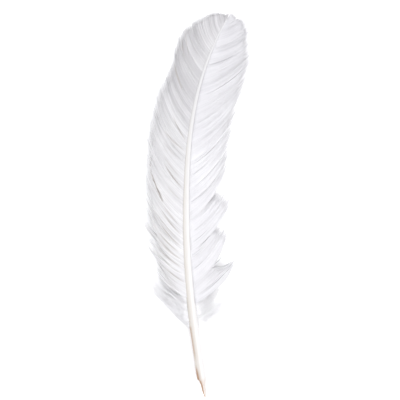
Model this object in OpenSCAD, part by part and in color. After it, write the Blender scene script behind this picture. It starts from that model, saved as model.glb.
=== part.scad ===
// Quill pen: a flight feather whose hollow barrel is cut to a split nib.
// It lies on its underside on a table at z = 0, with the nib towards -Y and the feather towards +Y.
// The middle of its outline is over the origin.

/* [Barrel] */
// Outer diameter of the bare barrel
barrel_d = 6.2; // [5.4:0.1:7]
// Thickness of the barrel's wall
barrel_wall = 0.55; // [0.4:0.05:0.8]
// Distance along the pen from the nib's point to the end of the barrel
barrel_len = 46; // [42:1:48]
// Upward slope of the barrel, in degrees
barrel_slope = 8; // [7:0.5:9]

/* [Nib] */
// Length of the hollow cut under the barrel
scoop_len = 16; // [13:0.5:20]
// Length of the two tines
tine_len = 8; // [6:0.5:9]
// Width of the nib's point
point_w = 1; // [0.8:0.1:1.6]
// How much the top of the tines is pared away
pare = 0.2; // [0.18:0.01:0.25]
// Width of the slit between the tines
slit_w = 0.12; // [0.08:0.02:0.3]
// How far the cut is turned about the barrel, in degrees
nib_roll = 12; // [0:1:20]

/* [Shaft] */
// Length of the whole shaft, from the nib's point to the feather's top
shaft_len = 252; // [245:1:260]
// Angle through which the shaft bends evenly to the right, in degrees
even_bend = 22; // [16:1:24]
// Further angle through which its upper half bends to the right, in degrees
top_bend = 16; // [12:1:18]
// Downward slope at the feather's top, in degrees
end_slope = 11.8; // [11:0.1:11.9]
// Half-width of the shaft at its thin end
shaft_end_r = 0.35; // [0.3:0.05:0.5]
// Thickness of the shaft's horny skin where it is widest
skin_t = 0.45; // [0.35:0.05:0.6]

/* [Vane] */
// Thickness of a web of barbs
web_t = 0.4; // [0.35:0.05:0.5]
// Thickness of a tuft of down
down_t = 1.2; // [1:0.1:1.6]
// Gap between the shaft and the roots of the barbs
root_gap = 0.3; // [0.25:0.05:0.5]
// Share of its height that a web has lost at its outer edge
web_droop = 0.42; // [0.3:0.02:0.5]
// Share of its height that a tuft of down has lost at its outer edge
down_droop = 0.9; // [0.8:0.02:0.9]

/* [Hidden] */
// Each web or tuft runs from one station along the shaft to another, in mm from the nib's point.
// A row gives the two stations, the barbs' sideways width at each, and there the ratio of their
// forward reach to that width. Where there is a seventh number, it is how far the edge swells out halfway.
left_webs = [
  [66.6, 73, 19.9, 20.2, 0.93, 0.94],
  [73.6, 81, 21.9, 21.6, 0.97, 0.99],
  [81.6, 89, 23.5, 23.9, 1.03, 0.98],
  [89.6, 97, 26, 23.2, 1.04, 1.14],
  [97.6, 104.4, 24.4, 23.9, 1.28, 1.27],
  [105.1, 132, 25.2, 24.6, 1.3, 1.27],
  [132.8, 163, 25.6, 22.7, 1.31, 1.36],
  [163.8, 190, 23.1, 18.6, 1.41, 1.34],
  [190.8, 222, 19.5, 19, 1.41, 0.95, 2.2],
  [222.7, 250.5, 19, 2.8, 0.95, 1.3, 0.8]
];
right_webs = [
  [62, 72, 33.2, 23.9, 0.72, 0.82],
  [75, 95, 28.9, 17.7, 1.09, 0.86],
  [97, 115.8, 29.7, 18.8, 1.06, 0.91],
  [116.6, 134.5, 27, 27, 1.28, 1.17],
  [135.3, 150, 29, 26.8, 1.24, 1.1],
  [150.8, 165, 30, 28.4, 1.19, 1.1],
  [165.8, 195, 31.1, 29.1, 1.18, 1.08],
  [195.8, 225, 29.2, 19.5, 1.1, 1.07],
  [225.7, 250.5, 19, 2.2, 1.07, 1.7, 1.7]
];
left_downs = [
  [47, 52.4, 8, 19.2, 0.7, 0.88],
  [53, 59.4, 19.3, 20.6, 0.87, 0.9],
  [60, 66, 20.6, 19.9, 0.9, 0.93]
];
right_downs = [
  [46.8, 51, 22, 24.8, 0.5, 0.56],
  [53, 61, 21.7, 22.4, 0.77, 0.76]
];

$fn = 64;
horn = [0.93, 0.89, 0.8];
amber = [0.8, 0.62, 0.36];
white = [0.93, 0.92, 0.94];
grey = [0.85, 0.85, 0.89];
membrane = [0.86, 0.8, 0.66];

barrel_r = barrel_d / 2;
bore_r = barrel_r - barrel_wall;
// Place of the nib's end of the barrel's axis. The heel of the scoop rests on the table.
nib_x = -20.1;
nib_y = -122.9;
nib_z = barrel_r * cos(barrel_slope) - scoop_len * sin(barrel_slope);
// Width of the cut that parts the tines from the barrel
tine_cut = 0.2;
// Clearance around the pith and the caps
play = 0.08;
// Distance between the stations at which the shaft's line is worked out
step = 2;
// Station at which the shaft's further bend starts, and the power with which it grows
top_start = 147;
top_power = 1.5;
// Station at which the shaft's pith ends
pith_end = 214;

// ---- the shaft's line ----

// How far along its curved stretch a station is, from 0 to 1
function along(s, from) = max(0, s - from) / (shaft_len - from);

// Angle to the right of +Y at a station
function heading(s) = even_bend * along(s, barrel_len) + top_bend * pow(along(s, top_start), top_power);

// Angle above the horizontal at a station
function slope(s) = barrel_slope - (barrel_slope + end_slope) * along(s, barrel_len);

// Unit vectors at a station: along the shaft, and level to its right
function forward(s) = [sin(heading(s)) * cos(slope(s)), cos(heading(s)) * cos(slope(s)), sin(slope(s))];
function rightward(s) = [cos(heading(s)), -sin(heading(s)), 0];

shaft_line = [
  for (i = 0, q = [nib_x, nib_y, nib_z]; i * step <= shaft_len;
       q = q + step * forward((i + 0.5) * step), i = i + 1) q
];

// Centre of the shaft at a station
function centre(s) =
  let (i = min(floor(s / step), len(shaft_line) - 2), part = s / step - i)
  shaft_line[i] * (1 - part) + shaft_line[i + 1] * part;

// Half-width and half-height of the shaft, which tapers from the barrel to its end
function half_w(s) = shaft_end_r + (barrel_r - shaft_end_r) * (1 - along(s, barrel_len));
function half_h(s) = half_w(s) * (1 - 0.08 * min(1, 3 * along(s, barrel_len)));

// Roundness of the shaft's section: 2 is a circle, and more is squarer
function squareness(s) = 2 + 1.2 * min(1, 3 * along(s, barrel_len));

// ---- closed shells from rings of points ----

// Faces of the wall of a tube of rings, each of n points
function wall_faces(rings, n) = [
  for (i = [0 : rings - 2], j = [0 : n - 1], half = [0, 1])
    let (a = i * n + j, b = i * n + (j + 1) % n)
    half == 0 ? [a, a + n, b + n] : [a, b + n, b]
];

// Flat faces that close both ends of such a tube
function flat_ends(rings, n) = [
  [for (j = [0 : n - 1]) j],
  [for (j = [n - 1 : -1 : 0]) (rings - 1) * n + j]
];

// Faces that close both ends where the ends are curved strips, with half the ring above the other half
function strip_ends(rings, n) = [
  for (k = [0 : n / 2 - 2], half = [0, 1], last = [0, 1])
    let (
      at = last * (rings - 1) * n,
      tri = half == 0 ? [k, k + 1, n - 1 - k] : [k + 1, n - 2 - k, n - 1 - k]
    )
    [for (m = [0 : 2]) at + tri[last == 0 ? m : 2 - m]]
];

function reversed(f) = [for (k = [len(f) - 1 : -1 : 0]) f[k]];

// A power that keeps the sign of its base
function signed_pow(x, p) = sign(x) * pow(abs(x), p);

// Ring of n points around the shaft's centre, drawn in by a margin
function shaft_ring(s, margin, n) =
  let (up = cross(rightward(s), forward(s)), power = 2 / squareness(s))
  [for (j = [0 : n - 1])
    let (turn = 360 * j / n)
    centre(s)
    + rightward(s) * (half_w(s) - margin) * signed_pow(cos(turn), power)
    + up * (half_h(s) - margin) * signed_pow(sin(turn), power)];

// ---- the webs of barbs ----

// Sideways and forward share of a barb's reach at t, which runs from 0 at its root to 1 at its tip.
// A barb leaves the shaft steeply and bends towards the feather's top.
function sideways(t) = t + 0.3 * t * (1 - t);
function onward(t) = t - 0.3 * t * (1 - t);

// Point on a web's middle sheet. u runs across the web, from its first barb to its last.
function web_point(row, side, droop, u, t) =
  let (
    s = row[0] + (row[1] - row[0]) * u,
    swell = len(row) > 6 ? 4 * row[6] * u * (1 - u) : 0,
    width = row[2] + (row[3] - row[2]) * u + swell,
    reach = width * (row[4] + (row[5] - row[4]) * u),
    root = half_w(s) + root_gap,
    ahead = min(s + reach * onward(t), shaft_len),
    flat = [forward(s)[0], forward(s)[1], 0] / norm([forward(s)[0], forward(s)[1]]),
    place = centre(s) + side * rightward(s) * (root + (width - root) * sideways(t)) + flat * reach * onward(t),
    height = centre(ahead)[2] * (1 - droop * pow(t, 1.6)) + 0.35 * half_h(s) * (1 - t)
  )
  [place[0], place[1], height];

// A web as a closed sheet of even thickness, with its own count of cells each way
module web(row, side, droop, thickness) {
  across = max(2, round((row[1] - row[0]) / 6));
  outward = 7;
  ring = 2 * (outward + 1);
  points = [
    for (i = [0 : across], j = [0 : ring - 1])
      let (low = j > outward, k = low ? ring - 1 - j : j)
      web_point(row, side, droop, i / across, k / outward) + [0, 0, (low ? -0.5 : 0.5) * thickness]
  ];
  faces = concat(wall_faces(across + 1, ring), strip_ends(across + 1, ring));
  polyhedron(points, side > 0 ? [for (f = faces) reversed(f)] : faces);
}

// ---- the barrel and the nib ----

// Puts a shape drawn along +Y from the nib's point on the barrel's axis, with its top to +Z
module on_barrel() {
  translate([nib_x, nib_y, nib_z]) rotate([barrel_slope, 0, 0]) children();
}

// Cylinder along +Y between two distances from the nib's point
module rod(r, from, to) {
  translate([0, from, 0]) rotate([-90, 0, 0]) cylinder(r = r, h = to - from);
}

// Side view of what the scoop takes away, from the point to the heel, with an arched roof
module scoop_outline() {
  roof = barrel_r * 0.25;
  arch = scoop_len - tine_len;
  polygon(concat(
    [[-1, -2 * barrel_r], [-1, barrel_r * 0.5], [tine_len * 0.6, roof]],
    [for (a = [0 : 10 : 90]) [tine_len + arch * sin(a), -barrel_r + (roof + barrel_r) * cos(a)]],
    [[scoop_len, -2 * barrel_r]]
  ));
}

// Plan of the nib, with hollow shoulders that run down to the point
module nib_outline() {
  half = [
    for (a = [0 : 10 : 90])
      [barrel_r - (barrel_r - 1.4) * sin(a), tine_len * 1.5 - tine_len * 0.9 * (1 - cos(a))]
  ];
  side = concat([[barrel_r + 1, scoop_len + 1], [barrel_r + 1, tine_len * 1.5]], half, [[point_w / 2, 0]]);
  polygon(concat(side, [for (i = [len(side) - 1 : -1 : 0]) [-side[i][0], side[i][1]]]));
}

// The quill's tube with the scoop and the shoulders cut, up to a length
module cut_tube(length) {
  difference() {
    rod(barrel_r, 0, length);
    rod(bore_r, -1, length + 1);
    rotate([0, nib_roll, 0]) {
      rotate([90, 0, 90]) linear_extrude(4 * barrel_r, center = true) scoop_outline();
      difference() {
        translate([-2 * barrel_r, -1, -2 * barrel_r]) cube([4 * barrel_r, scoop_len + 1, 4 * barrel_r]);
        linear_extrude(5 * barrel_r, center = true) nib_outline();
      }
    }
  }
}

module barrel() {
  color(horn) on_barrel() difference() {
    cut_tube(barrel_len);
    rotate([0, nib_roll, 0])
      translate([-2 * barrel_r, -1, -2 * barrel_r]) cube([4 * barrel_r, tine_len + 1, 4 * barrel_r]);
  }
}

// One tine, on the side of the slit that the sign gives
module tine(side) {
  color(amber) on_barrel() intersection() {
    cut_tube(tine_len + 1);
    rod(barrel_r - pare, -1, tine_len + 1);
    rotate([0, nib_roll, 0])
      translate([side > 0 ? slit_w / 2 : -2 * barrel_r - slit_w / 2, -1, 0])
        cube([2 * barrel_r, tine_len + 1 - tine_cut, 2 * barrel_r]);
  }
}

// The dried pulp: thin cups on a strand, which stop short of the barrel's wall
module pulp_caps() {
  strand_r = 0.3;
  cup_r = bore_r - 2 * play;
  cup_len = 4;
  first = scoop_len + 3;
  cups = 5;
  pitch = (barrel_len - first - cup_len - 1) / (cups - 1);
  color(membrane) on_barrel() {
    rod(strand_r, first, barrel_len - play);
    for (i = [0 : cups - 1])
      translate([0, first + i * pitch, 0]) rotate([-90, 0, 0]) rotate_extrude()
        polygon([[0, 0], [strand_r * 2, 0], [cup_r, cup_len], [cup_r - 0.2, cup_len], [strand_r, 0.6], [0, 0.6]]);
  }
}

// ---- the feathered shaft ----

// Closed solid through rings of n points, with flat ends
module shell(rings, n) {
  polyhedron([for (r = rings) each r], concat(wall_faces(len(rings), n), flat_ends(len(rings), n)));
}

module shaft_skin() {
  n = 16;
  outer = [for (s = [barrel_len + 0.02 : 4 : shaft_len - 3]) s];
  stations = concat(outer, [shaft_len]);
  inner = [for (s = outer) if (s < pith_end) s];
  wall = [for (s = inner) min(skin_t, 0.4 * half_h(s))];
  rings = concat(
    [for (k = [len(inner) - 1 : -1 : 0]) shaft_ring(inner[k], wall[k], n)],
    [for (s = stations) shaft_ring(s, 0, n)]
  );
  color(horn) shell(rings, n);
}

module shaft_pith() {
  n = 16;
  stations = [for (s = [barrel_len + 0.02 : 4 : pith_end - 4]) s];
  rings = [for (s = stations) shaft_ring(s, min(skin_t, 0.4 * half_h(s)) + play, n)];
  color("white") shell(rings, n);
}

barrel();
tine(-1);  // left_tine
tine(1);  // right_tine
pulp_caps();
shaft_skin();
shaft_pith();
for (i = [1 : len(left_webs)])
  color(grey) web(left_webs[i - 1], -1, web_droop, web_t);
for (i = [1 : len(right_webs)])
  color(white) web(right_webs[i - 1], 1, web_droop, web_t);
for (i = [1 : len(left_downs)])
  color(white) web(left_downs[i - 1], -1, down_droop, down_t);
for (i = [1 : len(right_downs)])
  color(white) web(right_downs[i - 1], 1, down_droop, down_t);
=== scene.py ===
import math

import bpy
import numpy as np
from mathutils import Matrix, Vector


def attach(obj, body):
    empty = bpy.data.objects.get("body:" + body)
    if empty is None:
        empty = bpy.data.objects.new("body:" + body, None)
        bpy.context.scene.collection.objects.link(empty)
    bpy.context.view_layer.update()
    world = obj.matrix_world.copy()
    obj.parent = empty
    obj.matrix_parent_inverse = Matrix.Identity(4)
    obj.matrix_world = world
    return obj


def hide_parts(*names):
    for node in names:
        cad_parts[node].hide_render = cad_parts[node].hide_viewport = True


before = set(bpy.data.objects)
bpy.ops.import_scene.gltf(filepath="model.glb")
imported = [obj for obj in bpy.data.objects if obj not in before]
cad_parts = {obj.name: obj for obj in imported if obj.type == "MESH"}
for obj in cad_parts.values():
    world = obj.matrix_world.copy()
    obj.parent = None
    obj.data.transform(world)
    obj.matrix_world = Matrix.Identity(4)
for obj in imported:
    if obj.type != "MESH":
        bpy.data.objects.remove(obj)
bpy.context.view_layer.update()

# A feather cut to a quill pen. Shapes are worked out in mm and become metres when a mesh is made.
# A station (s) is a distance along the feather from the nib's point. A share (t) runs along a barb,
# from 0 at its root to 1 at its tip.
MM = 0.001
FULL_TURN = 2 * np.pi
ANY_PHASE = (0, 6.283)
# Seeds. The barrel and the tines share one, so that their unevenness runs on from one to the other.
HORN_SEED = 3
SKIN_SEED = 11
WEB_SEED = 100
DOWN_SEED = 300

# ---- the shaft's line, as the CAD part has it: lengths in mm and angles in degrees ----

BARREL_R = 3.1
BARREL_LEN = 46.0
SCOOP_LEN = 16
SHAFT_LEN = 252.0
SHAFT_END_R = 0.35
PITH_END = 214.0
# The barrel rises, the shaft's end falls. The whole shaft bends to the right, its top a little more.
BARREL_SLOPE = 8.0
END_SLOPE = 11.8
EVEN_BEND = 22.0
TOP_BEND = 16.0
TOP_START = 147.0
SLOPE = math.radians(BARREL_SLOPE)
# The nib's point. The heel of the scoop rests on the table.
NIB = np.array([-20.1, -122.9, BARREL_R * math.cos(SLOPE) - SCOOP_LEN * math.sin(SLOPE)])
# Half the nib's width at its point, and the turn of the nib about the barrel's axis.
POINT_R = 0.5
ROLL = math.radians(12)


def along(s, start):
    """How far a station is from start to the shaft's end: 0 before start, 1 at the end."""
    return np.maximum(0, np.asarray(s, float) - start) / (SHAFT_LEN - start)


def heading(s):
    """The shaft's direction in plan, to the right of +Y."""
    return np.radians(EVEN_BEND * along(s, BARREL_LEN) + TOP_BEND * along(s, TOP_START) ** 1.5)


def slope(s):
    """The shaft's rise."""
    return np.radians(BARREL_SLOPE - (BARREL_SLOPE + END_SLOPE) * along(s, BARREL_LEN))


def forward(s):
    h, p = heading(s), slope(s)
    return np.stack([np.sin(h) * np.cos(p), np.cos(h) * np.cos(p), np.sin(p)], -1)


def rightward(s):
    h = heading(s)
    return np.stack([np.cos(h), -np.sin(h), np.zeros_like(h)], -1)


# Points on the shaft's line, one each LINE_STEP, each a step ahead along the direction half-way.
LINE_STEP = 2
LINE_S = np.arange(0, SHAFT_LEN + 1, float(LINE_STEP))
LINE_MOVES = LINE_STEP * forward(LINE_S[:-1] + LINE_STEP / 2)
LINE_P = NIB + np.concatenate([np.zeros((1, 3)), np.cumsum(LINE_MOVES, 0)])


def centre(s):
    """The point on the shaft's line at a station, and straight on past its end."""
    s = np.asarray(s, float)
    inside = np.stack([np.interp(s, LINE_S, LINE_P[:, k]) for k in range(3)], -1)
    past = np.maximum(0, s - SHAFT_LEN)[..., None] * forward(np.full_like(s, SHAFT_LEN))
    return inside + past


def half_w(s):
    """Half the shaft's width."""
    return SHAFT_END_R + (BARREL_R - SHAFT_END_R) * (1 - np.minimum(1, along(s, BARREL_LEN)))


def half_h(s):
    """Half the shaft's height, which is a little less than its width past the barrel."""
    return half_w(s) * (1 - 0.08 * np.minimum(1, 3 * along(s, BARREL_LEN)))


def smooth(a, b, x):
    """A soft step from 0 at a to 1 at b. Where a is above b, it falls as x rises."""
    t = np.clip((x - a) / (b - a), 0, 1)
    return t * t * (3 - 2 * t)


def ripple(rng, x, lengths, sizes):
    """Smooth noise along x: a sum of sines with random phases."""
    total = np.zeros_like(np.asarray(x, float))
    for length, size in zip(lengths, sizes):
        turns = FULL_TURN * x / (length * rng.uniform(0.85, 1.15))
        total += size * np.sin(turns + rng.uniform(*ANY_PHASE))
    return total


# ---- meshes ----

# The least height of a barb's point over the table.
LOWEST = 0.02


def finish_mesh(mesh, attributes):
    """Smooth shading, and the numbers at each point that the materials read."""
    mesh.polygons.foreach_set("use_smooth", [True] * len(mesh.polygons))
    for key, values in attributes.items():
        values = np.asarray(values, np.float32)
        if values.ndim == 1:
            mesh.attributes.new(key, "FLOAT", "POINT").data.foreach_set("value", values)
        else:
            mesh.attributes.new(key, "FLOAT_VECTOR", "POINT").data.foreach_set("vector", values.ravel())


def make_object(name, points_mm, faces, material, attributes):
    mesh = bpy.data.meshes.new(name)
    mesh.from_pydata((np.asarray(points_mm) * MM).tolist(), [], faces)
    mesh.validate()
    mesh.update()
    finish_mesh(mesh, attributes)
    mesh.materials.append(material)
    obj = bpy.data.objects.new(name, mesh)
    bpy.context.scene.collection.objects.link(obj)
    return obj


class Batch:
    """Gathers many small closed shapes into one mesh.

    tone is a barb's own paleness, shade is painted shade in a seam or split, and grain a place along and
    across a barb."""

    def __init__(self):
        self.points = []
        self.faces = []
        self.tone = []
        self.shade = []
        self.grain = []
        self.count = 0

    def strips(self, rings, tone, shade, grain):
        """Closed tubes with flat ends. rings holds points: (tubes, rings, corners, 3)."""
        n, m, c = rings.shape[:3]
        base = self.count + (np.arange(n) * m * c)[:, None, None]
        i = (np.arange(m - 1) * c)[None, :, None]
        j = np.arange(c)[None, None, :]
        k = (j + 1) % c
        quads = np.stack([base + i + j, base + i + k, base + i + c + k, base + i + c + j], -1)
        self.faces += quads.reshape(-1, 4).tolist()
        start = self.count + np.arange(n)[:, None] * m * c
        self.faces += (start + np.arange(c)[None, ::-1]).tolist()
        self.faces += (start + (m - 1) * c + np.arange(c)[None, :]).tolist()
        self.points.append(rings.reshape(-1, 3))
        self.tone.append(np.broadcast_to(tone, (n, m, c)).reshape(-1))
        self.shade.append(np.broadcast_to(shade, (n, m, c)).reshape(-1))
        self.grain.append(np.broadcast_to(grain, (n, m, c, 3)).reshape(-1, 3))
        self.count += n * m * c

    def spikes(self, base, tip, radius, tone):
        """Thin pyramids on three corners, from base points to tips."""
        n = len(base)
        d = tip - base
        d /= np.linalg.norm(d, axis=1)[:, None]
        side = np.cross(d, [0, 0, 1.0])
        side /= np.linalg.norm(side, axis=1)[:, None] + 1e-9
        up = np.cross(side, d)
        first = base + side * radius
        second = base + (-0.5 * side * radius + 0.87 * up * radius)
        third = base + (-0.5 * side * radius - 0.87 * up * radius)
        points = np.stack([first, second, third, tip], 1)
        at = self.count + np.arange(n)[:, None] * 4
        for face in ([0, 1, 3], [1, 2, 3], [2, 0, 3], [2, 1, 0]):
            self.faces += (at + np.array(face)[None, :]).tolist()
        self.points.append(points.reshape(-1, 3))
        self.tone.append(np.repeat(tone, 4))
        self.shade.append(np.zeros(n * 4))
        self.grain.append(np.zeros((n * 4, 3)))
        self.count += n * 4

    def build(self, name, material):
        """One object of all the shapes, with no point below the table."""
        points = np.concatenate(self.points)
        points[:, 2] = np.maximum(points[:, 2], LOWEST)
        attributes = {
            "tone": np.concatenate(self.tone),
            "shade": np.concatenate(self.shade),
            "grain": np.concatenate(self.grain),
        }
        return make_object(name, points, self.faces, material, attributes)


# ---- materials ----

def new_material(name):
    """A material, its nodes, its links and its main shader."""
    mat = bpy.data.materials.new(name)
    mat.use_nodes = True
    nodes, links = mat.node_tree.nodes, mat.node_tree.links
    return mat, nodes, links, nodes["Principled BSDF"]


def attribute(nodes, name):
    node = nodes.new("ShaderNodeAttribute")
    node.attribute_name = name
    return node


def ramp(nodes, stops):
    node = nodes.new("ShaderNodeValToRGB")
    elements = node.color_ramp.elements
    while len(elements) < len(stops):
        elements.new(0.5)
    for element, (place, colour) in zip(elements, stops):
        element.position = place
        element.color = (*colour, 1)
    return node


def mix_colours(nodes, links, factor, a, b, blend="MIX"):
    """A mix of two colours. Each of the inputs is another node's output or a value."""
    node = nodes.new("ShaderNodeMix")
    node.data_type = "RGBA"
    node.blend_type = blend
    for socket, value in ((node.inputs[0], factor), (node.inputs[6], a), (node.inputs[7], b)):
        if hasattr(value, "links"):
            links.new(value, socket)
        elif isinstance(value, tuple):
            socket.default_value = (*value, 1)
        else:
            socket.default_value = value
    return node.outputs[2]


def add_bump(nodes, links, shader, height, strength, metres):
    bump = nodes.new("ShaderNodeBump")
    bump.inputs["Strength"].default_value = strength
    bump.inputs["Distance"].default_value = metres
    links.new(height, bump.inputs["Height"])
    links.new(bump.outputs[0], shader.inputs["Normal"])


def add_roughness(nodes, links, shader, value, least, most):
    rough = nodes.new("ShaderNodeMapRange")
    rough.inputs["To Min"].default_value = least
    rough.inputs["To Max"].default_value = most
    links.new(value, rough.inputs["Value"])
    links.new(rough.outputs[0], shader.inputs["Roughness"])


def vane_material(name, dark, pale):
    """Keratin barbs: silky, a little translucent, each with its own tone and with fine cross hatching."""
    mat, nodes, links, shader = new_material(name)
    tone, grain = attribute(nodes, "tone"), attribute(nodes, "grain")
    colour = ramp(nodes, [(0.0, dark), (1.0, pale)])
    links.new(tone.outputs["Fac"], colour.inputs[0])
    place = nodes.new("ShaderNodeTexCoord")
    blotch = nodes.new("ShaderNodeTexNoise")
    blotch.inputs["Scale"].default_value = 55
    blotch.inputs["Detail"].default_value = 3
    links.new(place.outputs["Object"], blotch.inputs["Vector"])
    patch = ramp(nodes, [(0.3, (0.93, 0.925, 0.935)), (0.7, (1, 1, 1))])
    links.new(blotch.outputs["Fac"], patch.inputs[0])
    base = mix_colours(nodes, links, 1.0, colour.outputs[0], patch.outputs[0], "MULTIPLY")
    # Painted shade in the seams and splits between barbs.
    base = mix_colours(nodes, links, attribute(nodes, "shade").outputs["Fac"], base, SEAM_SHADE)
    links.new(base, shader.inputs["Base Color"])
    hatch = nodes.new("ShaderNodeTexWave")
    hatch.wave_type = "BANDS"
    hatch.bands_direction = "DIAGONAL"
    hatch.inputs["Scale"].default_value = 2.2
    hatch.inputs["Distortion"].default_value = 1.5
    links.new(grain.outputs["Vector"], hatch.inputs["Vector"])
    add_bump(nodes, links, shader, hatch.outputs["Fac"], 0.35, 0.00004)
    add_roughness(nodes, links, shader, blotch.outputs["Fac"], 0.42, 0.62)
    shader.inputs["Specular IOR Level"].default_value = 0.35
    shader.inputs["Sheen Weight"].default_value = 0.15
    shader.inputs["Sheen Roughness"].default_value = 0.4
    through = nodes.new("ShaderNodeBsdfTranslucent")
    links.new(base, through.inputs["Color"])
    both = nodes.new("ShaderNodeMixShader")
    both.inputs[0].default_value = TRANSLUCENT
    links.new(shader.outputs[0], both.inputs[1])
    links.new(through.outputs[0], both.inputs[2])
    links.new(both.outputs[0], nodes["Material Output"].inputs["Surface"])
    return mat


def horn_material(name, flank, face, top, tip):
    """Horn: satin and streaked along its length, with painted shade that makes its left side darker and
    tan.
    """
    mat, nodes, links, shader = new_material(name)
    side, grain = attribute(nodes, "flank"), attribute(nodes, "grain")
    between = tuple(0.5 * (a + b) for a, b in zip(flank, face))
    colour = ramp(nodes, [(0.0, flank), (0.42, between), (0.72, face)])
    links.new(side.outputs["Fac"], colour.inputs[0])
    # Towards the shaft's end the horn turns an even grey, a little darker than its face: painted shade, as
    # on the vanes' top.
    with_top_shade = mix_colours(nodes, links, attribute(nodes, "high").outputs["Fac"], colour.outputs[0], top)
    stretch = nodes.new("ShaderNodeMapping")
    stretch.inputs["Scale"].default_value = (0.06, 1.6, 1.6)
    links.new(grain.outputs["Vector"], stretch.inputs["Vector"])
    streak = nodes.new("ShaderNodeTexNoise")
    streak.inputs["Scale"].default_value = 2.0
    streak.inputs["Detail"].default_value = 5
    links.new(stretch.outputs[0], streak.inputs["Vector"])
    tint = ramp(nodes, [(0.32, (0.93, 0.91, 0.88)), (0.62, (1, 1, 1))])
    links.new(streak.outputs["Fac"], tint.inputs[0])
    base = mix_colours(nodes, links, 0.8, with_top_shade, tint.outputs[0], "MULTIPLY")
    base = mix_colours(nodes, links, attribute(nodes, "tip").outputs["Fac"], base, tip)
    links.new(base, shader.inputs["Base Color"])
    add_bump(nodes, links, shader, streak.outputs["Fac"], 0.3, 0.0001)
    add_roughness(nodes, links, shader, streak.outputs["Fac"], 0.28, 0.48)
    shader.inputs["IOR"].default_value = 1.54
    return mat


def plain_texture(name, dark, pale, scale, roughness):
    """A dry, slightly mottled surface, for the parts inside and the floor."""
    mat, nodes, links, shader = new_material(name)
    place = nodes.new("ShaderNodeTexCoord")
    noise = nodes.new("ShaderNodeTexNoise")
    noise.inputs["Scale"].default_value = scale
    noise.inputs["Detail"].default_value = 6
    links.new(place.outputs["Object"], noise.inputs["Vector"])
    colour = ramp(nodes, [(0.3, dark), (0.7, pale)])
    links.new(noise.outputs["Fac"], colour.inputs[0])
    links.new(colour.outputs[0], shader.inputs["Base Color"])
    shader.inputs["Roughness"].default_value = roughness
    add_bump(nodes, links, shader, noise.outputs["Fac"], 0.2, 0.0002)
    return mat


# The painted shade in the seams between barbs, and how much of the light passes through a barb.
SEAM_SHADE = (0.26, 0.21, 0.17)
TRANSLUCENT = 0.15
# The two vanes' colours are set apart to match how the light falls on each side: painted light and shade.
LEFT_VANE = vane_material("left_vane", (0.52, 0.513, 0.523), (0.80, 0.795, 0.80))
RIGHT_VANE = vane_material("right_vane", (0.53, 0.525, 0.542), (0.722, 0.718, 0.734))
DOWN = vane_material("down_barbs", (0.88, 0.875, 0.885), (0.955, 0.955, 0.96))
# The horn's left flank is darker and tan: painted shade on the side turned from the light.
HORN_SHADED_FLANK = (0.46, 0.43, 0.39)
HORN_FACE = (0.49, 0.486, 0.486)
# Greyer and a little darker towards the shaft's end: painted shade, as on the vanes' top.
HORN_SHADED_TOP = (0.46, 0.46, 0.468)
# AMBER is the nib's own colour, and also paints shade down the barrel's left flank.
AMBER = (0.25, 0.13, 0.06)
HORN = horn_material("horn", HORN_SHADED_FLANK, HORN_FACE, HORN_SHADED_TOP, AMBER)
PITH = plain_texture("pith_foam", (0.86, 0.85, 0.8), (0.95, 0.94, 0.9), 1800, 0.95)
MEMBRANE = plain_texture("dry_membrane", (0.66, 0.56, 0.4), (0.86, 0.79, 0.64), 700, 0.8)
FLOOR = plain_texture("pale_floor", (0.93, 0.93, 0.93), (0.95, 0.95, 0.95), 12, 0.9)

# ---- the barrel and the tines ----

WELD_METRES = 0.000002
# How far the tines run on towards the barrel, over the cut that parts the CAD solids.
TINE_ROOT = 0.32


def pen_coordinates(points_mm):
    """Along the barrel from the nib's point, to the right of its axis, and above it."""
    d = points_mm - NIB
    y = d[:, 1] * math.cos(SLOPE) + d[:, 2] * math.sin(SLOPE)
    z = -d[:, 1] * math.sin(SLOPE) + d[:, 2] * math.cos(SLOPE)
    return y, d[:, 0], z


def left_flank_shade(flank):
    """Painted shade down the left flank of the barrel, the side turned from the light: 1 at the flank, and
    0 before the barrel's face.
    """
    return smooth(0.3, 0.06, flank)


def horn_attributes(y, x, z):
    """Where the horn is seen from: flank is 0 at its left and 1 at its right. tip is its share of amber,
    which holds the nib's own amber and painted shade down the left flank and the nib's left edge.
    """
    r = np.hypot(x, z)
    flank = np.clip(0.5 + 0.5 * x / BARREL_R, 0, 1)
    # Amber near the nib, with painted shade making its left half heavier, and painted shade in amber down
    # the barrel's left flank.
    tip = 0.55 * smooth(21, 12, y) * smooth(0.6, 0.1, flank) + 0.3 * smooth(12, 0, y)
    tip = tip + left_flank_shade(flank) * (0.6 * smooth(22, 33, y) * smooth(49, 46, y) + 0.8 * smooth(23, 17, y))
    # The nib is amber all over; painted shade darkens its left edge and painted light pales its right side.
    half = POINT_R + 0.19 * np.clip(y, 0, 4.8) + 1.7 * smooth(7, 12.5, y)
    across = (x * math.cos(ROLL) - z * math.sin(ROLL)) / half
    amber = 0.35 + 0.6 * smooth(-0.25, -0.7, across) - 0.2 * smooth(0, 0.8, across)
    tip = np.maximum(tip, smooth(14, 10, y) * amber)
    grain = np.stack([y, np.arctan2(z, x) * BARREL_R, r], -1)
    return {"flank": flank, "tip": np.clip(tip, 0, 1), "high": np.zeros_like(y), "grain": grain}


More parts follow.
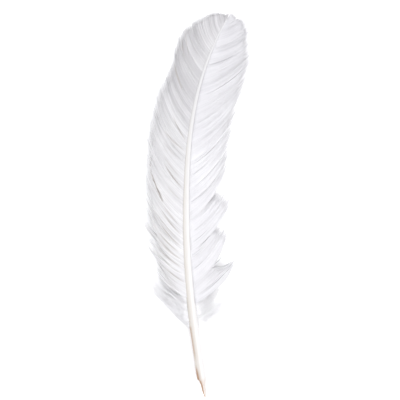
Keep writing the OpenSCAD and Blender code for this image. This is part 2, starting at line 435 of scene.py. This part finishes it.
def organic_copy(name, node, voxel_mm, rounds, root):
    """A CAD horn node with its edges worn round, its faces slightly uneven and its root made longer."""
    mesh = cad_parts[node].data.copy()
    obj = bpy.data.objects.new(name, mesh)
    bpy.context.scene.collection.objects.link(obj)
    mesh.materials.clear()
    mesh.materials.append(HORN)
    weld = obj.modifiers.new("weld", "WELD")
    weld.merge_threshold = WELD_METRES
    remesh = obj.modifiers.new("remesh", "REMESH")
    remesh.mode = "VOXEL"
    remesh.voxel_size = voxel_mm * MM
    soften = obj.modifiers.new("soften", "SMOOTH")
    soften.iterations = rounds
    soften.factor = 0.5
    bpy.context.view_layer.update()
    worn = obj.evaluated_get(bpy.context.evaluated_depsgraph_get())
    final = bpy.data.meshes.new_from_object(worn)
    obj.modifiers.clear()
    obj.data = final
    points = np.array([v.co for v in final.vertices]) / MM
    y, x, z = pen_coordinates(points)
    y = y + root * smooth(6.4, 7.6, y)
    rng = np.random.RandomState(HORN_SEED)
    swell = ripple(rng, y, (31, 13, 5.5), (0.035, 0.02, 0.01))
    swell = swell + ripple(rng, np.arctan2(z, x) * 3, (6.3, 2.1), (0.02, 0.012))
    r = np.hypot(x, z)
    push = swell * smooth(1.5, 2.5, r) / np.maximum(r, 0.5)
    x2, z2 = x * (1 + push), z * (1 + push)
    points[:, 0] = NIB[0] + x2
    points[:, 1] = NIB[1] + y * math.cos(SLOPE) - z2 * math.sin(SLOPE)
    points[:, 2] = np.maximum(0.01, NIB[2] + y * math.sin(SLOPE) + z2 * math.cos(SLOPE))
    final.vertices.foreach_set("co", (points * MM).ravel())
    final.update()
    finish_mesh(final, horn_attributes(y, x, z))
    return obj


def place_piece(obj, body, node):
    """Every piece made here stands for one CAD node, and moves with that node's body."""
    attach(obj, body)
    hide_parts(node)


place_piece(organic_copy("barrel_horn", "barrel", 0.17, 4, 0.0), "shaft", "barrel")
for tine in ("left_tine", "right_tine"):
    place_piece(organic_copy(tine + "_horn", tine, 0.07, 3, TINE_ROOT), tine, tine)

# ---- the shaft ----

SKIN_SIDES = 36
SKIN_WALL = 0.42
# The skin starts a little before the barrel's end, and the swelling of its lap fades out by LAP_END.
LAP_START = 44.6
LAP_END = 50


def skin_rings(stations, margin):
    """Closed rings of the shaft's outline, shrunk by margin, with the groove underneath."""
    turn = FULL_TURN * np.arange(SKIN_SIDES) / SKIN_SIDES
    cos, sin = np.cos(turn), np.sin(turn)
    rings = []
    for s, m in zip(stations, margin):
        # Round at the barrel, and a rounded square further on.
        power = 2 / (2 + 1.2 * min(1, 3 * float(along(s, BARREL_LEN))))
        w, h = float(half_w(s)) - m, float(half_h(s)) - m
        f, r = forward(s), rightward(s)
        up = np.cross(r, f)
        deep = 0.22 * float(smooth(60, 110, s)) * float(smooth(250, 235, s))
        groove = deep * h * np.exp(-((np.abs(turn - 0.75 * FULL_TURN) / 0.5) ** 2))
        across = w * np.sign(cos) * np.abs(cos) ** power
        high = h * np.sign(sin) * np.abs(sin) ** power + groove
        rings.append(centre(s)[None] + across[:, None] * r[None] + high[:, None] * up[None])
    return np.array(rings)


def shaft_skin():
    """Hollow horn skin. It laps a little over the barrel's end, without a step."""
    n = SKIN_SIDES
    outer_s = np.concatenate([
        np.linspace(LAP_START, LAP_END, 8),
        np.arange(LAP_END + 1, SHAFT_LEN - 1, 1.0),
        [SHAFT_LEN - 0.6, SHAFT_LEN - 0.2, SHAFT_LEN],
    ])
    inner_s = outer_s[outer_s < PITH_END]
    wave = ripple(np.random.RandomState(SKIN_SEED), outer_s, (41, 17, 7), (0.02, 0.012, 0.006))
    wave = wave * smooth(48, 60, outer_s) * half_w(outer_s) / BARREL_R
    lap = 0.04 * smooth(LAP_END, 46, outer_s) - 0.06 * smooth(45.4, LAP_START, outer_s)
    rounded_end = np.zeros_like(outer_s)
    rounded_end[-2:] = (0.12, 0.3)
    outer = skin_rings(outer_s, -lap - wave + rounded_end)
    wall = np.minimum(SKIN_WALL, 0.38 * half_h(inner_s))
    wall[inner_s < 46.2] = 0.12
    inner = skin_rings(inner_s, wall)[::-1]
    points = np.concatenate([inner.reshape(-1, 3), outer.reshape(-1, 3)])
    count = len(inner) + len(outer)
    faces = []
    for i in range(count - 1):
        for j in range(n):
            k = (j + 1) % n
            faces.append((i * n + j, (i + 1) * n + j, (i + 1) * n + k, i * n + k))
    faces.append(tuple(range(n)))
    faces.append(tuple(range(count * n - 1, (count - 1) * n - 1, -1)))
    turn = np.tile(FULL_TURN * np.arange(n) / n, count)
    stations = np.repeat(np.concatenate([inner_s[::-1], outer_s]), n)
    flank = 0.5 + 0.5 * np.cos(turn)
    attributes = {
        # Painted shade: the left side darker and tan, less so further along the shaft.
        "flank": flank + 0.12 * smooth(46, 120, stations),
        # Painted shade in amber down the left flank, at the barrel's end.
        "tip": 0.6 * left_flank_shade(flank) * smooth(49, 46, stations),
        # Painted shade towards the shaft's end.
        "high": smooth(120, 215, stations),
        "grain": np.stack([stations, turn * 1.6, np.zeros_like(turn)], -1),
    }
    return make_object("shaft_skin_horn", points, faces, HORN, attributes)


place_piece(shaft_skin(), "shaft", "shaft_skin")

# ---- the webs of barbs ----

# Each web's name and side of the shaft, and its row as the CAD part has it: its first and last
# station, the vane's width there, the barbs' forward reach per width there, and the edge's swell.
# The second line is the look of its barbs: how far the web spreads over the gap before and after it,
# the least and greatest size of a clump in mm, how strongly a clump's tips draw together, from what
# share of a barb's length they do, raggedness, the edge's downward curl in mm, and how much painted
# shade lies in the seams between the clumps.
LEFT, RIGHT = -1, 1
WEBS = [
    ("left_web_1", LEFT, [66.6, 73, 19.9, 20.2, 0.93, 0.94, 0],
     (0.2, 0.25), (1.1, 1.9), 0.75, 0.3, 0.13, 0.2, 0.2),
    ("left_web_2", LEFT, [73.6, 81, 21.9, 21.6, 0.97, 0.99, 0],
     (0.25, 0.25), (1.1, 1.9), 0.8, 0.35, 0.12, 0.2, 0.2),
    ("left_web_3", LEFT, [81.6, 89, 23.5, 23.9, 1.03, 0.98, 0],
     (0.25, 0.25), (1.1, 2.0), 0.8, 0.4, 0.10, 0.2, 0.2),
    ("left_web_4", LEFT, [89.6, 97, 26, 23.2, 1.04, 1.14, 0],
     (0.25, 0.2), (1.2, 2.2), 0.8, 0.4, 0.08, 0.3, 0.25),
    ("left_web_5", LEFT, [97.6, 104.4, 24.4, 23.9, 1.28, 1.27, 0],
     (0.2, 0.25), (1.3, 2.4), 0.6, 0.5, 0.05, 0.4, 0.25),
    ("left_web_6", LEFT, [105.1, 132, 25.2, 24.6, 1.3, 1.27, 0],
     (0.3, 0.3), (1.4, 3.0), 0.4, 0.6, 0.03, 0.5, 0.25),
    ("left_web_7", LEFT, [132.8, 163, 25.6, 22.7, 1.31, 1.36, 0],
     (0.3, 0.3), (2.0, 5.0), 0.3, 0.65, 0.02, 0.5, 0.18),
    ("left_web_8", LEFT, [163.8, 190, 23.1, 18.6, 1.41, 1.34, 0],
     (0.3, 0.3), (2.5, 6.0), 0.3, 0.7, 0.02, 0.5, 0.14),
    ("left_web_9", LEFT, [190.8, 222, 19.5, 19, 1.41, 0.95, 2.2],
     (0.3, 0.25), (3.0, 7.0), 0.25, 0.7, 0.025, 0.4, 0.12),
    ("left_web_10", LEFT, [222.7, 250.5, 19, 2.8, 0.95, 1.3, 0.8],
     (0.25, 0.9), (3.0, 6.0), 0.25, 0.7, 0.03, 0.3, 0.12),
    ("right_web_1", RIGHT, [62, 72, 33.2, 23.9, 0.72, 0.82, 0],
     (0.3, 1.4), (1.4, 2.6), 0.7, 0.45, 0.03, 0.0, 0.08),
    ("right_web_2", RIGHT, [75, 95, 28.9, 17.7, 1.09, 0.86, 0],
     (1.2, 0.8), (1.8, 3.8), 0.25, 0.7, 0.015, 0.0, 0.05),
    ("right_web_3", RIGHT, [97, 115.8, 29.7, 18.8, 1.06, 0.91, 0],
     (0.9, 0.3), (1.8, 4.0), 0.25, 0.7, 0.015, 0.0, 0.05),
    ("right_web_4", RIGHT, [116.6, 134.5, 27, 27, 1.28, 1.17, 0],
     (0.3, 0.3), (1.8, 4.0), 0.35, 0.6, 0.03, 0.2, 0.08),
    ("right_web_5", RIGHT, [135.3, 150, 29, 26.8, 1.24, 1.1, 0],
     (0.3, 0.3), (1.8, 4.0), 0.35, 0.6, 0.03, 0.2, 0.08),
    ("right_web_6", RIGHT, [150.8, 165, 30, 28.4, 1.19, 1.1, 0],
     (0.3, 0.3), (1.8, 4.0), 0.35, 0.65, 0.025, 0.2, 0.07),
    ("right_web_7", RIGHT, [165.8, 195, 31.1, 29.1, 1.18, 1.08, 0],
     (0.3, 0.3), (2.0, 5.0), 0.3, 0.65, 0.02, 0.2, 0.06),
    ("right_web_8", RIGHT, [195.8, 225, 29.2, 19.5, 1.1, 1.07, 0],
     (0.3, 0.3), (2.0, 5.0), 0.25, 0.7, 0.02, 0.2, 0.06),
    ("right_web_9", RIGHT, [225.7, 250.5, 19, 2.2, 1.07, 1.7, 1.7],
     (0.3, 0.9), (2.5, 5.0), 0.25, 0.7, 0.03, 0.2, 0.06),
]
# Splits in a web: a line from one station and share of a barb's length to another station and share,
# how far the barbs part from it in mm, and how much painted shade lies along it. Where that distance is
# less than zero the barbs draw towards the line instead, which closes the seam between two webs.
SPLITS = {
    "left_web_2": [(76, 0.03, 76.5, 0.6, 0.1, 0.5)],
    "left_web_3": [(84.5, 0.05, 85, 0.7, 0.1, 0.4)],
    "left_web_4": [
        (89.7, 0.03, 90.5, 0.6, 0.12, 0.5), (93.5, 0.1, 94, 0.6, 0.1, 0.35),
        (93.8, 0.65, 94.5, 1.1, 0.8, 0.1),
    ],
    "left_web_5": [(98, 0.08, 98.6, 0.6, 0.12, 0.5), (101.5, 0.1, 102, 0.7, 0.1, 0.35)],
    "left_web_6": [
        (105.6, 0.05, 108, 0.5, 0.14, 0.5), (111, 0.1, 112.5, 0.45, 0.1, 0.35),
        (114.5, 0.48, 120.5, 0.88, 0.5, 0.9), (119.5, 0.8, 131, 0.98, 0.2, 0.7),
        (127, 0.05, 127.5, 0.4, 0.1, 0.3),
    ],
    "left_web_7": [
        (135.5, 0.03, 138, 0.5, 0.16, 0.6), (141, 0.1, 142, 0.5, 0.1, 0.3),
        (151, 0.15, 149, 0.6, 0.1, 0.2), (159.5, 0.03, 155.5, 0.6, 0.1, 0.4),
        (133.2, 0.85, 149, 0.98, 0.1, 0.4),
    ],
    "left_web_8": [(165.5, 0.03, 169.5, 0.45, 0.1, 0.45), (189.9, 0.4, 190.2, 1.0, 0.1, 0.6)],
    "left_web_9": [(209.5, 0.45, 216, 0.95, 0.1, 0.35), (205, 0.55, 208, 0.95, 0.08, 0.3)],
    "right_web_1": [(73.6, 0, 73.6, 0.8, -1.5, 0)],
    "right_web_2": [
        (84, 0.3, 84.5, 0.95, 0.06, 0.08), (73.7, 0, 73.7, 0.7, -0.8, 0),
        (95.9, 0, 95.9, 1.6, -1.6, 0), (73.5, 0.7, 73.5, 1.4, 1.6, 0),
    ],
    "right_web_3": [
        (103.5, 0.6, 101.5, 1.0, 0.08, 0.15), (96, 0, 96, 1.6, -0.9, 0),
        (116, 0, 116, 1.4, -1.6, 0),
    ],
    "right_web_4": [(116.2, 0, 116.2, 0.9, -1.2, 0), (126, 0.3, 126, 0.9, 0.06, 0.14)],
    "right_web_5": [(141, 0.3, 140, 0.9, 0.04, 0.08)],
    "right_web_6": [(156, 0.35, 156, 0.9, 0.04, 0.08), (165.6, 0, 165.6, 1.2, -0.35, 0)],
    "right_web_7": [
        (177.5, 0.3, 175, 0.7, 0.05, 0.08), (188, 0.5, 188, 0.95, 0.04, 0.08),
        (165.2, 0, 165.2, 1.2, -0.35, 0), (195.6, 0, 195.6, 1.2, -0.35, 0),
    ],
    "right_web_8": [
        (206, 0.5, 205, 0.98, 0.06, 0.12), (214, 0.55, 213, 0.98, 0.06, 0.12),
        (195.2, 0, 195.2, 1.2, -0.35, 0),
    ],
}
# Barbs whose outer parts draw together into a tuft: first and last station, the tuft's own station,
# the share of a barb's length from which they turn towards it, and how much longer its middle is.
TUFTS = {
    "left_web_1": [(66.4, 69.6, 68.6, 0.5, 0.04), (69.6, 73.3, 72.6, 0.5, 0.08)],
    "left_web_2": [(73.3, 79.9, 77.2, 0.5, 0.1), (79.9, 81.3, 81.2, 0.5, 0.12)],
    "left_web_3": [(81.3, 83.6, 81.4, 0.5, 0.12), (83.6, 89.3, 88.9, 0.5, 0.16)],
    "left_web_4": [(89.3, 92.0, 89.4, 0.5, 0.12), (92.0, 97.2, 96.9, 0.55, -0.05)],
    "left_web_5": [(97.4, 100.5, 97.8, 0.6, -0.04), (100.5, 104.7, 103, 0.7, 0.0)],
    "left_web_7": [(157.5, 163.3, 162, 0.8, 0.06)],
    "right_web_1": [(61.7, 73.4, 64.2, 0.55, 0.07)],
}
# How much longer a web's middle barbs are than the straight edge of its row.
ROUNDED = {"right_web_2": 0.07, "right_web_3": 0.06}
# What differs between the sides: how far clumps lift in mm, how much clumps and single barbs differ in
# tone, how much painted shade darkens the top of the vane, and how much the barbs' roll about their length
# varies.
SIDE_LOOK = {
    LEFT: {"lift": 0.12, "clump_tone": 0.10, "barb_tone": 0.2, "top_shade": 1.0, "roll": 0.1},
    RIGHT: {"lift": 0.06, "clump_tone": 0.04, "barb_tone": 0.08, "top_shade": 0.52, "roll": 0.05},
}
# How much longer the barbs round the feather's top reach forward, in mm.
TOP_REACH = {LEFT: 1.3, RIGHT: 2.4}
# Distance between barbs at the shaft, in mm, rings along a barb, and half a barb's thickness.
SPACING = 0.3
BARB_RINGS = 26
BARB_THICK = 0.05
# Share of the shaft's height by which the tips lie lower.
WEB_DROOP = 0.42
DOWN_DROOP = 0.9
# Shares of a barb's width: what is left at its tip, and how far the ridge is from its middle.
TIP_WIDTH = 0.18
RIDGE_SIDE = 0.12
BROKEN_SHARE = 0.02
# A barb first runs outwards and then turns forward.
BARB_BEND = 0.3


def web_point(row, side, droop, s, t, length):
    """Point on a web's middle sheet, for a barb rooted at station s, at t from its root to its tip.

    The roots lie in the shaft's side, a little above its middle. length stretches a barb."""
    first, last, width_first, width_last, reach_first, reach_last, swell = row
    u = (s - first) / (last - first)
    crown = smooth(SHAFT_LEN - 7, SHAFT_LEN - 0.5, s)
    edge = 4 * swell * np.clip(u * (1 - u), 0, 1)
    width = np.maximum(1.0, width_first + (width_last - width_first) * u + edge)
    reach = width * (reach_first + (reach_last - reach_first) * u) + TOP_REACH[side] * crown
    width = width * (1 - 0.8 * crown)
    root = 0.87 * half_w(s) - 0.1
    out = (t + BARB_BEND * t * (1 - t)) * length
    on = (t - BARB_BEND * t * (1 - t)) * length
    ahead = np.minimum(s + reach * on, SHAFT_LEN)
    flat = forward(s) * np.array([1, 1, 0])
    flat = flat / np.linalg.norm(flat, axis=-1)[..., None]
    beside = side * rightward(s) * (root + (width - root) * out)[..., None]
    place = centre(s) + beside + flat * (reach * on)[..., None]
    height = centre(ahead)[..., 2] * (1 - droop * t ** 1.6) + 0.35 * half_h(s) * (1 - t)
    return np.stack([place[..., 0], place[..., 1], height], -1)


def clumps_of(rng, first, last, sizes):
    """Splits the barbs into clumps: for each, its two ends and its own random numbers."""
    edges = [first]
    while edges[-1] < last:
        edges.append(edges[-1] + rng.uniform(*sizes))
    edges[-1] = last + 0.01
    if len(edges) > 2 and edges[-1] - edges[-2] < 0.5 * sizes[0]:
        edges.pop(-2)
    return [(a, b, rng.uniform(-1, 1, 5)) for a, b in zip(edges, edges[1:])]


def unit(vectors):
    return vectors / np.linalg.norm(vectors, axis=-1)[..., None]


def ribbons(batch, path, width, roll, thick, tone, shade):
    """Closed ribbons with a ridge on top, along paths of points: (barbs, rings, 3)."""
    n, m = path.shape[:2]
    t = np.linspace(0, 1, m)
    tangent = unit(np.gradient(path, axis=1))
    flat = unit(np.cross(tangent, [0, 0, 1.0]))
    up = np.cross(flat, tangent)
    across = flat * np.cos(roll)[..., None] + up * np.sin(roll)[..., None]
    out = np.cross(across, tangent)
    half = 0.5 * width * (1 - (1 - TIP_WIDTH) * smooth(0.7, 1.0, t)[None, :])
    deep = thick * (1 - 0.6 * smooth(0.5, 1.0, t)[None, :])
    rings = np.stack([
        path + across * half[..., None],
        path + out * deep[..., None] + across * (RIDGE_SIDE * half)[..., None],
        path - across * half[..., None],
        path - out * (0.6 * deep)[..., None],
    ], 2)
    steps = np.linalg.norm(np.diff(path, axis=1), axis=2)
    length = np.concatenate([np.zeros((n, 1)), np.cumsum(steps, 1)], 1)[:, :, None]
    beside = np.array([1.0, RIDGE_SIDE, -1.0, 0.0])[None, None, :] * half[:, :, None]
    own = np.arange(n)[:, None, None] * 1.7
    grain = np.stack(np.broadcast_arrays(length, beside, own), -1)
    batch.strips(rings, tone[..., None], shade[..., None], grain)


def draw_clumps(s0, t, clumps, look, pull, depth, ragged, seam, barbs):
    """Draws each clump's tips together, with its own height, length, tone and painted shade along its seam.
    """
    for a, b, r in clumps:
        here = (s0 >= a) & (s0 < b)
        middle = 0.5 * (a + b) + 0.3 * (b - a) * r[0]
        start = depth * (1 + 0.35 * r[1])
        close = smooth(start, 1.0, t) * pull * (0.7 + 0.3 * r[2])
        barbs["shift"][here] = ((middle - s0[here])[:, None]) * close
        barbs["lift"][here] = look["lift"] * r[3] * smooth(0.1, 1.0, t)
        barbs["length"][here] = 1 + ragged * r[4]
        barbs["tone"][here] = look["clump_tone"] * r[3]
        inner, outer = 0.05 + 0.2 * abs(r[1]), 0.75 + 0.3 * r[2]
        dark = seam * (0.6 + 0.4 * r[0])
        dark = dark * smooth(inner, inner + 0.15, t) * smooth(outer + 0.15, outer - 0.1, t)
        barbs["shade"] += dark * np.exp(-(((s0 - a) / 0.32) ** 2))[:, None]


def draw_splits(s0, t, splits, barbs):
    """Parts the barbs along lines, or draws them towards a line where the gap is less than zero, and paints
    shade along each line.
    """
    for s_a, t_a, s_b, t_b, gap, dark in splits:
        along_it = (t - t_a) / (t_b - t_a)
        lens = np.sin(np.pi * np.clip(along_it, 0, 1)) ** 0.6
        off = s0[:, None] - (s_a + (s_b - s_a) * along_it)
        decay = 2.0 if gap > 0 else 4.0
        barbs["shift"] += gap * lens * np.sign(off) * np.exp(-np.abs(off) / decay)
        barbs["lift"] -= 0.5 * dark * lens * np.exp(-np.abs(off) / 0.7)
        barbs["shade"] += dark * lens * np.exp(-((off / (0.45 + abs(gap))) ** 2))


def draw_tufts(s0, t, tufts, barbs):
    """Draws the outer parts of barbs together into tufts, whose middle barbs are longer."""
    for a, b, middle, start, stretch in tufts:
        here = (s0 >= a) & (s0 < b)
        barbs["length"][here] *= 1 + stretch * (1 - 2 * np.abs(s0[here] - middle) / (b - a))
        close = 0.8 * smooth(start, start + 0.4, t)
        towards = (middle - s0[here])[:, None] * close
        barbs["shift"][here] = barbs["shift"][here] * (1 - close) + towards


def web(name, side, row, spread, sizes, pull, depth, ragged, curl, seam, seed):
    """One web of barbs: each barb is a ribbon on the web's sheet, moved by clumps, splits and tufts."""
    rng = np.random.RandomState(seed)
    look = SIDE_LOOK[side]
    first, last = row[0] - spread[0], row[1] + spread[1]
    count = int(round((last - first) / SPACING)) + 1
    s0 = np.linspace(first, last, count)
    t = np.linspace(0, 1, BARB_RINGS)[None, :]
    barbs = {key: np.zeros((count, BARB_RINGS)) for key in ("shift", "lift", "shade")}
    barbs["length"] = np.ones(count)
    barbs["tone"] = np.zeros(count)
    draw_clumps(s0, t, clumps_of(rng, first, last, sizes), look, pull, depth, ragged, seam, barbs)
    draw_splits(s0, t, SPLITS.get(name, ()), barbs)
    draw_tufts(s0, t, TUFTS.get(name, ()), barbs)

    # Where each barb runs: its stations, which wander a little, and its length. A few are broken short.
    drift = ripple(rng, s0, (23, 9, 3.7), (0.5, 0.3, 0.12))[:, None] * smooth(0.2, 1, t)
    drift = drift * smooth(first, first + 4, s0)[:, None] * smooth(last, last - 4, s0)[:, None]
    s = s0[:, None] + barbs["shift"] + drift
    length = barbs["length"]
    u = (s0 - first) / (last - first)
    rounded = ROUNDED.get(name, 0)
    length *= 1 + 0.35 * ragged * rng.uniform(-1, 1, count)
    length *= 1 + rounded * (1 - 4 * (u - 0.5) ** 2)
    length *= 1 - 0.5 * rounded * smooth(0.12, 0, u)
    broken = rng.uniform(0, 1, count) < BROKEN_SHARE
    length[broken] *= rng.uniform(0.72, 0.92, broken.sum())
    path = web_point(row, side, WEB_DROOP, s, np.broadcast_to(t, s.shape), length[:, None])

    # Its height: waves along the web, its own small offset, thicker roots and a curled edge.
    bend = ripple(rng, s0, (31, 11), (0.2, 0.1))[:, None] * smooth(0, 0.6, t)
    bend = bend + 0.27 * half_h(s0)[:, None] * (1 - t) ** 5
    each = 0.05 * rng.uniform(-1, 1, count)[:, None] * smooth(0, 0.4, t)
    path[..., 2] += barbs["lift"] + bend + each - curl * smooth(0.8, 1.02, t) ** 1.5
    path[..., 2] = np.maximum(path[..., 2], 0.12)

    # Its width laps over the next barb, and painted shade darkens its tone towards the feather's top.
    tangent = unit(np.gradient(path, axis=1))
    over = np.gradient(path, axis=0)
    gap = np.linalg.norm(over - (over * tangent).sum(2)[..., None] * tangent, axis=2)
    width = np.clip(1.55 * gap, 0.1, 0.9)
    roll = side * (0.14 + look["roll"] * rng.uniform(-1, 1, count))[:, None] * np.ones_like(t)
    top_shading = smooth(110, 215, s0) * look["top_shade"]
    tone = 0.82 - 0.72 * top_shading + barbs["tone"] + look["barb_tone"] * rng.uniform(-1, 1, count)
    tone = tone + ripple(rng, s0, (13, 5, 1.9), (0.06, 0.06, 0.05))
    tone = np.clip(tone, 0, 1)[:, None] * np.ones_like(t)
    batch = Batch()
    ribbons(batch, path, width, roll, BARB_THICK, tone, np.clip(barbs["shade"], 0, 0.95))
    obj = batch.build(name + "_barbs", LEFT_VANE if side == LEFT else RIGHT_VANE)
    place_piece(obj, name, name)


for number, settings in enumerate(WEBS):
    web(*settings, WEB_SEED + number)

# ---- the down ----

# Each tuft's name, side and row as in WEBS, its wisps, and its longest barb as a share of the row's.
DOWNS = [
    ("left_down_1", LEFT, [47, 52.4, 8, 19.2, 0.7, 0.88, 0], 9, 1.45),
    ("left_down_2", LEFT, [53, 59.4, 19.3, 20.6, 0.87, 0.9, 0], 9, 1.4),
    ("left_down_3", LEFT, [60, 66, 20.6, 19.9, 0.9, 0.93, 0], 7, 1.4),
    ("right_down_1", RIGHT, [46.8, 51, 22, 24.8, 0.5, 0.56, 0], 8, 1.2),
    ("right_down_2", RIGHT, [53, 61, 21.7, 22.4, 0.77, 0.76, 0], 10, 1.05),
]
# Barbs in a wisp, rings along a barb, its width and half its thickness in mm, then how many barbules it
# has and their radius in mm.
IN_WISP = 6
DOWN_RINGS = 20
DOWN_WIDTH = 0.2
DOWN_THICK = 0.03
BARBULES = 36
BARBULE_R = 0.03


def down_paths(rng, side, row, wisps, longest):
    """Wandering paths of a tuft's barbs, in wisps that share most of their length, lean and wander."""
    first, last = row[0] - 0.2, row[1] + 0.3
    count = wisps * IN_WISP
    which = np.repeat(np.arange(wisps), IN_WISP)
    t = np.linspace(0, 1, DOWN_RINGS)[None, :]
    roots = np.linspace(first + 0.3, last - 0.3, wisps)[which]
    s0 = np.clip(roots + 0.5 * rng.normal(0, 1, count), first, last)
    wander = np.zeros((count, DOWN_RINGS))
    for length, size, own in ((1.3, 1.3, 0.6), (0.6, 0.8, 1.2), (0.33, 0.3, 3)):
        phase = rng.uniform(*ANY_PHASE, (wisps, 1))[which] + own * rng.uniform(-1, 1, (count, 1))
        wander += size * np.sin(FULL_TURN * t / length + phase) * smooth(0, 0.5, t)
    lean = (2.0 * rng.normal(0, 1, (wisps, 1)))[which] + 0.7 * rng.normal(0, 1, (count, 1))
    s = np.minimum(s0[:, None] + lean * smooth(0.15, 1.1, t) + 0.8 * wander, row[1] + 0.8)
    length = (rng.uniform(0.72, longest, wisps))[which] * (1 + 0.12 * rng.normal(0, 1, count))
    length = np.clip(length, 0.4, longest)
    path = web_point(row, side, DOWN_DROOP, s, np.broadcast_to(t, s.shape), length[:, None])
    high = rng.uniform(-0.5, 1.2, (count, 1)) * smooth(0, 0.7, t) + 0.4 * wander
    path[..., 2] = np.maximum(path[..., 2] + high, 0.1)
    return path


def barbules(rng, path):
    """The two ends of every barbule: they stand off a barb to both sides and lean towards its tip."""
    count, m = path.shape[:2]
    many = (count, BARBULES)
    at = rng.uniform(0.12, 1.0, many) * (m - 1.001)
    low = at.astype(int)
    part = (at - low)[..., None]
    rows = np.arange(count)[:, None]
    base = path[rows, low] * (1 - part) + path[rows, low + 1] * part
    tangent = unit(path[rows, low + 1] - path[rows, low])
    flat = unit(np.cross(tangent, [0, 0, 1.0]))
    sign = np.where(rng.uniform(0, 1, many) < 0.5, -1, 1)[..., None]
    way = tangent * rng.uniform(0.2, 1.0, (*many, 1)) + flat * sign
    way = unit(way + rng.normal(0, 0.3, (*many, 3)))
    tip = base + way * rng.uniform(0.8, 2.8, (*many, 1))
    tip[..., 2] = np.maximum(tip[..., 2], 0.06)
    return base.reshape(-1, 3), tip.reshape(-1, 3)


def down(name, side, row, wisps, longest, seed):
    """A tuft of loose barbs, each with fine barbules on both sides."""
    rng = np.random.RandomState(seed)
    path = down_paths(rng, side, row, wisps, longest)
    count, m = path.shape[:2]
    every = np.ones((count, m))
    width = DOWN_WIDTH * every * (1 - 0.5 * smooth(0.3, 1, np.linspace(0, 1, m)[None, :]))
    roll = rng.uniform(-0.5, 0.5, (count, 1)) * every
    tone = np.clip(0.6 + 0.3 * rng.uniform(-1, 1, (count, 1)), 0, 1) * every
    batch = Batch()
    ribbons(batch, path, width, roll, DOWN_THICK, tone, np.zeros_like(tone))
    base, tip = barbules(rng, path)
    batch.spikes(base, tip, BARBULE_R, rng.uniform(0.3, 1, len(base)))
    place_piece(batch.build(name + "_tuft", DOWN), "shaft", name)


for number, settings in enumerate(DOWNS):
    down(*settings, DOWN_SEED + number)

# ---- what stays from the CAD part ----

for node, material in (("pulp_caps", MEMBRANE), ("shaft_pith", PITH)):
    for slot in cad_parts[node].material_slots:
        slot.material = material

# ---- floor, light and camera ----

bpy.ops.mesh.primitive_plane_add(size=6, location=(0, 0, -0.0002))
floor = bpy.context.object
floor.name = "floor"
floor.data.materials.append(FLOOR)

# The photograph looks straight down, with the picture's top turned from +Y by this.
VIEW_TURN = math.radians(-8.1)
view_right = np.array([math.cos(VIEW_TURN), math.sin(VIEW_TURN), 0])
view_up = np.array([-math.sin(VIEW_TURN), math.cos(VIEW_TURN), 0])


def sun(name, bearing, elevation, strength, angle, colour):
    """A sun with soft edges. Its bearing is counted from the camera's right towards its top."""
    data = bpy.data.lights.new(name, "SUN")
    data.energy = strength
    data.angle = math.radians(angle)
    data.color = colour
    lamp = bpy.data.objects.new(name, data)
    b, e = math.radians(bearing), math.radians(elevation)
    level = view_right * math.cos(b) + view_up * math.sin(b)
    towards = math.cos(e) * level + np.array([0, 0, math.sin(e)])
    lamp.rotation_euler = Vector(towards).to_track_quat("Z", "Y").to_euler()
    bpy.context.scene.collection.objects.link(lamp)


sun("key", -28, 60, 1.9, 36, (1.0, 0.99, 0.975))

world = bpy.data.worlds.new("studio")
bpy.context.scene.world = world
world.use_nodes = True
background = world.node_tree.nodes["Background"]
background.inputs["Color"].default_value = (0.97, 0.975, 1.0, 1)
background.inputs["Strength"].default_value = 1.42

bpy.context.scene.view_settings.view_transform = "Standard"

camera_data = bpy.data.cameras.new("camera")
camera_data.sensor_width = 36
camera_data.lens = 110.8
camera = bpy.data.objects.new("camera", camera_data)
camera.location = (-0.005, 0.0036, 0.8)
camera.rotation_euler = (0, 0, VIEW_TURN)
bpy.context.scene.collection.objects.link(camera)
bpy.context.scene.camera = camera
